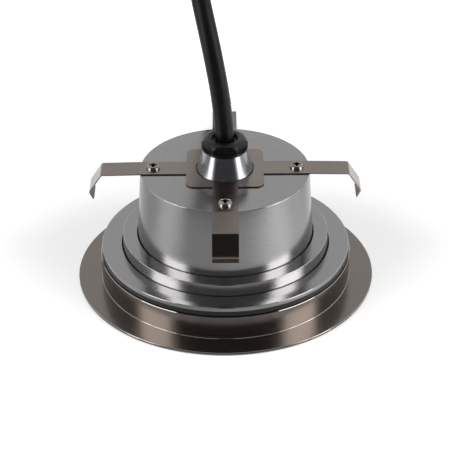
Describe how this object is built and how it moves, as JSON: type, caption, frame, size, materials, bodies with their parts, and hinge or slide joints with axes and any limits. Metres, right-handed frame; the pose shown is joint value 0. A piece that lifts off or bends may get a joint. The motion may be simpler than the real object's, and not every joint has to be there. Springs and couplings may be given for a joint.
{
  "type": "recessed ground light",
  "caption": "Round recessed ground light with steel trim flange, stepped aluminium housing, rear cable gland with lead and a sprung mounting cross.",
  "frame": {"origin": "centre of the flange's front face, which lies on the surface the light is set down on", "axes": "+Z from the face to the rear, where the cable leaves; +X and +Y each run along one spring arm"},
  "size_m": [0.13, 0.228, 0.1384],
  "materials": {
    "stainless_trim": "turned and brushed round the axis",
    "spring_steel": "rolled sheet, satin",
    "screw_steel": "bright",
    "cast_aluminium": "turned, satin",
    "sheet_aluminium": "mill finish",
    "polished_gland": "polished",
    "toughened_glass": "clear, ground edge",
    "clear_acrylic": "moulded, clear",
    "silicone_seal": "matt",
    "gland_rubber": "matt",
    "cable_rubber": "satin",
    "black_polyamide": "moulded, fine grain",
    "white_board": "solder mask on aluminium",
    "green_board": "solder mask",
    "emitter_phosphor": "silicone over phosphor",
    "winding_tape": "taped winding on a dark core",
    "capacitor_sleeve": "shrink sleeve",
    "enamelled_copper": "enamelled wire",
    "ivory_plastic": "moulded",
    "red_insulation": "extruded",
    "core_insulation": "extruded; brown, blue and green with yellow",
    "tinned_copper": "tinned"
  },
  "bodies": {
    "light": {"trim_flange": "stainless_trim", "trim_sleeve": "stainless_trim", "trim_screws": "screw_steel", "face_glass": "toughened_glass", "glass_gasket": "silicone_seal", "body_seal": "silicone_seal", "housing": "cast_aluminium", "heat_spreader": "sheet_aluminium", "light_board": "white_board", "emitters": "emitter_phosphor", "lens_plate": "clear_acrylic", "engine_screws": "screw_steel", "driver_board": "green_board", "driver_screws": "screw_steel", "transformer": "winding_tape", "capacitors": "capacitor_sleeve", "choke": "enamelled_copper", "terminal_block": "ivory_plastic", "light_leads": "red_insulation", "supply_cores": "core_insulation", "gland_body": "polished_gland", "gland_ring": "silicone_seal", "lock_nut": "polished_gland", "gland_seal": "gland_rubber", "gland_nut": "black_polyamide", "spring_plate": "spring_steel", "spring_screws": "screw_steel", "cable": "cable_rubber", "free_cores": "core_insulation", "core_ferrules": "tinned_copper"},
    "arm_right": {"spring_arm_right": "spring_steel"},
    "arm_back": {"spring_arm_back": "spring_steel"},
    "arm_left": {"spring_arm_left": "spring_steel"},
    "arm_front": {"spring_arm_front": "spring_steel"}
  },
  "joints": [
    {"name": "arm_right_flex", "type": "hinge", "parent": "light", "child": "arm_right", "pos_m": [0.0369, 0, 0.0516], "axis": [0, 1, 0], "range_deg": [0, 20], "stiffness_Nm_per_rad": 2},
    {"name": "arm_back_flex", "type": "hinge", "parent": "light", "child": "arm_back", "pos_m": [0, 0.0369, 0.0516], "axis": [-1, 0, 0], "range_deg": [0, 20], "stiffness_Nm_per_rad": 2},
    {"name": "arm_left_flex", "type": "hinge", "parent": "light", "child": "arm_left", "pos_m": [-0.0369, 0, 0.0516], "axis": [0, -1, 0], "range_deg": [0, 20], "stiffness_Nm_per_rad": 2},
    {"name": "arm_front_flex", "type": "hinge", "parent": "light", "child": "arm_front", "pos_m": [0, -0.0369, 0.0516], "axis": [1, 0, 0], "range_deg": [0, 20], "stiffness_Nm_per_rad": 2}
  ]
}
